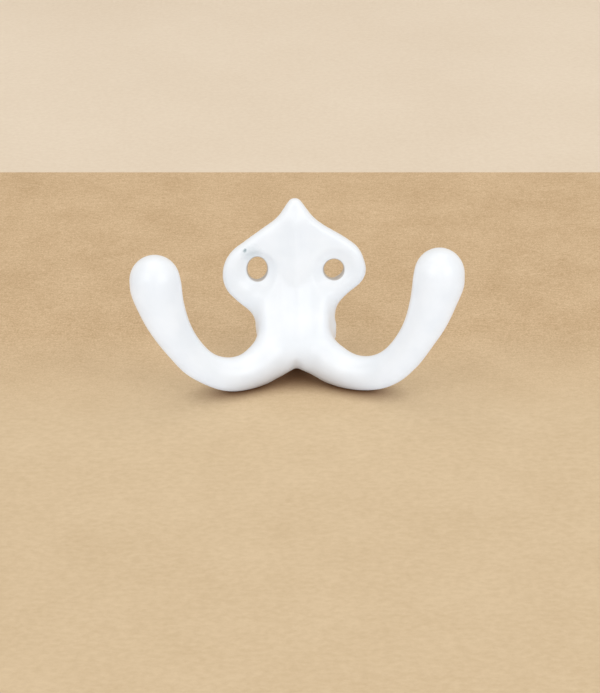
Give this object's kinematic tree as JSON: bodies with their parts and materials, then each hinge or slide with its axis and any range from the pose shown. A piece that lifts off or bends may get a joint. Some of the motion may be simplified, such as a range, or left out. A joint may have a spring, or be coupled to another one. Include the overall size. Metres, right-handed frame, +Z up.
{
  "type": "double coat hook",
  "caption": "Cast double coat hook: a spade-shaped wall plate with dished screw holes, and two curved prongs with ball ends, coated glossy white.",
  "frame": {"origin": "on the wall, midway between the two screw holes", "axes": "+Z up the wall, towards the plate's pointed top; +X to the right as seen from the room; the wall is the plane Y = 0 and the hook stands on its -Y side"},
  "size_m": [0.0738, 0.0252, 0.042],
  "materials": {
    "white_enamel": "glossy white enamel over a casting"
  },
  "bodies": {
    "root": {"double_hook": "white_enamel"}
  },
  "joints": []
}
